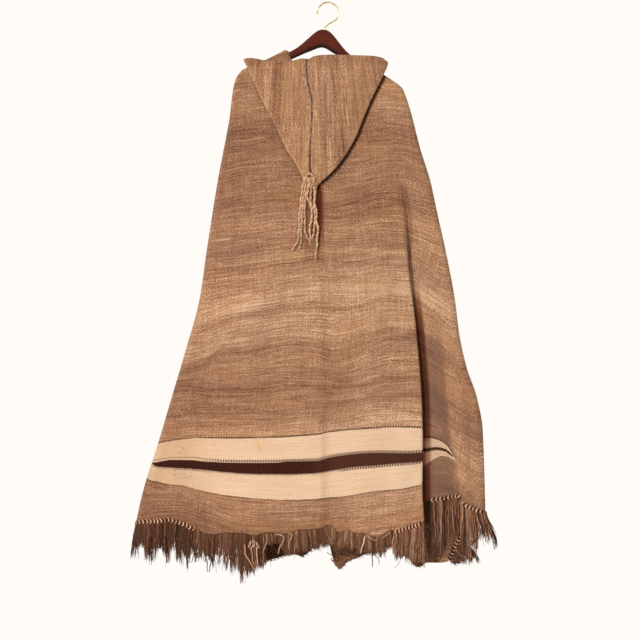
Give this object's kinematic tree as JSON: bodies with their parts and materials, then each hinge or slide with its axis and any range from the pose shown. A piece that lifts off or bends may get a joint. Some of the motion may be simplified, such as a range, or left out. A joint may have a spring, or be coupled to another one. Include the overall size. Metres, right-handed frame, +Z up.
{
  "type": "hooded burnous cloak on a wooden hanger",
  "caption": "Hooded wool cloak with woven cream and dark bands, braided edging and a long fringe, hanging flat with its back to the viewer on a wooden hanger with a wire hook.",
  "frame": {"origin": "underside of the hanger hook's arc, where it rests on its rail", "axes": "+Z up, the length of the hanging cloak; +X to the viewer's right along the hanger; the cloak's back and its hood face -Y, its fronts +Y"},
  "size_m": [0.9417, 0.09, 1.4994],
  "materials": {
    "brown_wool": "handwoven undyed wool, brown with heathered weft streaks and cream and dark bands above the hem",
    "tan_wool": "handwoven undyed wool, tan with vertical streaks",
    "two_colour_braid": "flat wool braid, cream and dark brown chevrons",
    "dark_fringe": "twisted dark brown wool yarn",
    "mahogany": "dark red-brown stained wood, satin varnish",
    "brass_wire": "pale polished brass"
  },
  "bodies": {
    "root": {"cloak_back": "brown_wool", "cloak_front_left": "brown_wool", "cloak_front_right": "brown_wool", "hood": "tan_wool", "hood_tassel": "tan_wool", "braid_left": "two_colour_braid", "braid_right": "two_colour_braid", "braid_inner": "two_colour_braid", "braid_outer": "two_colour_braid", "braid_corner": "two_colour_braid", "fringe_left": "dark_fringe", "fringe_mid_left": "dark_fringe", "fringe_mid": "dark_fringe", "fringe_flap": "dark_fringe", "fringe_mid_right": "dark_fringe", "fringe_inner": "dark_fringe", "fringe_outer": "dark_fringe", "fringe_corner": "dark_fringe", "hanger_wood": "mahogany", "hanger_hook": "brass_wire"}
  },
  "joints": []
}
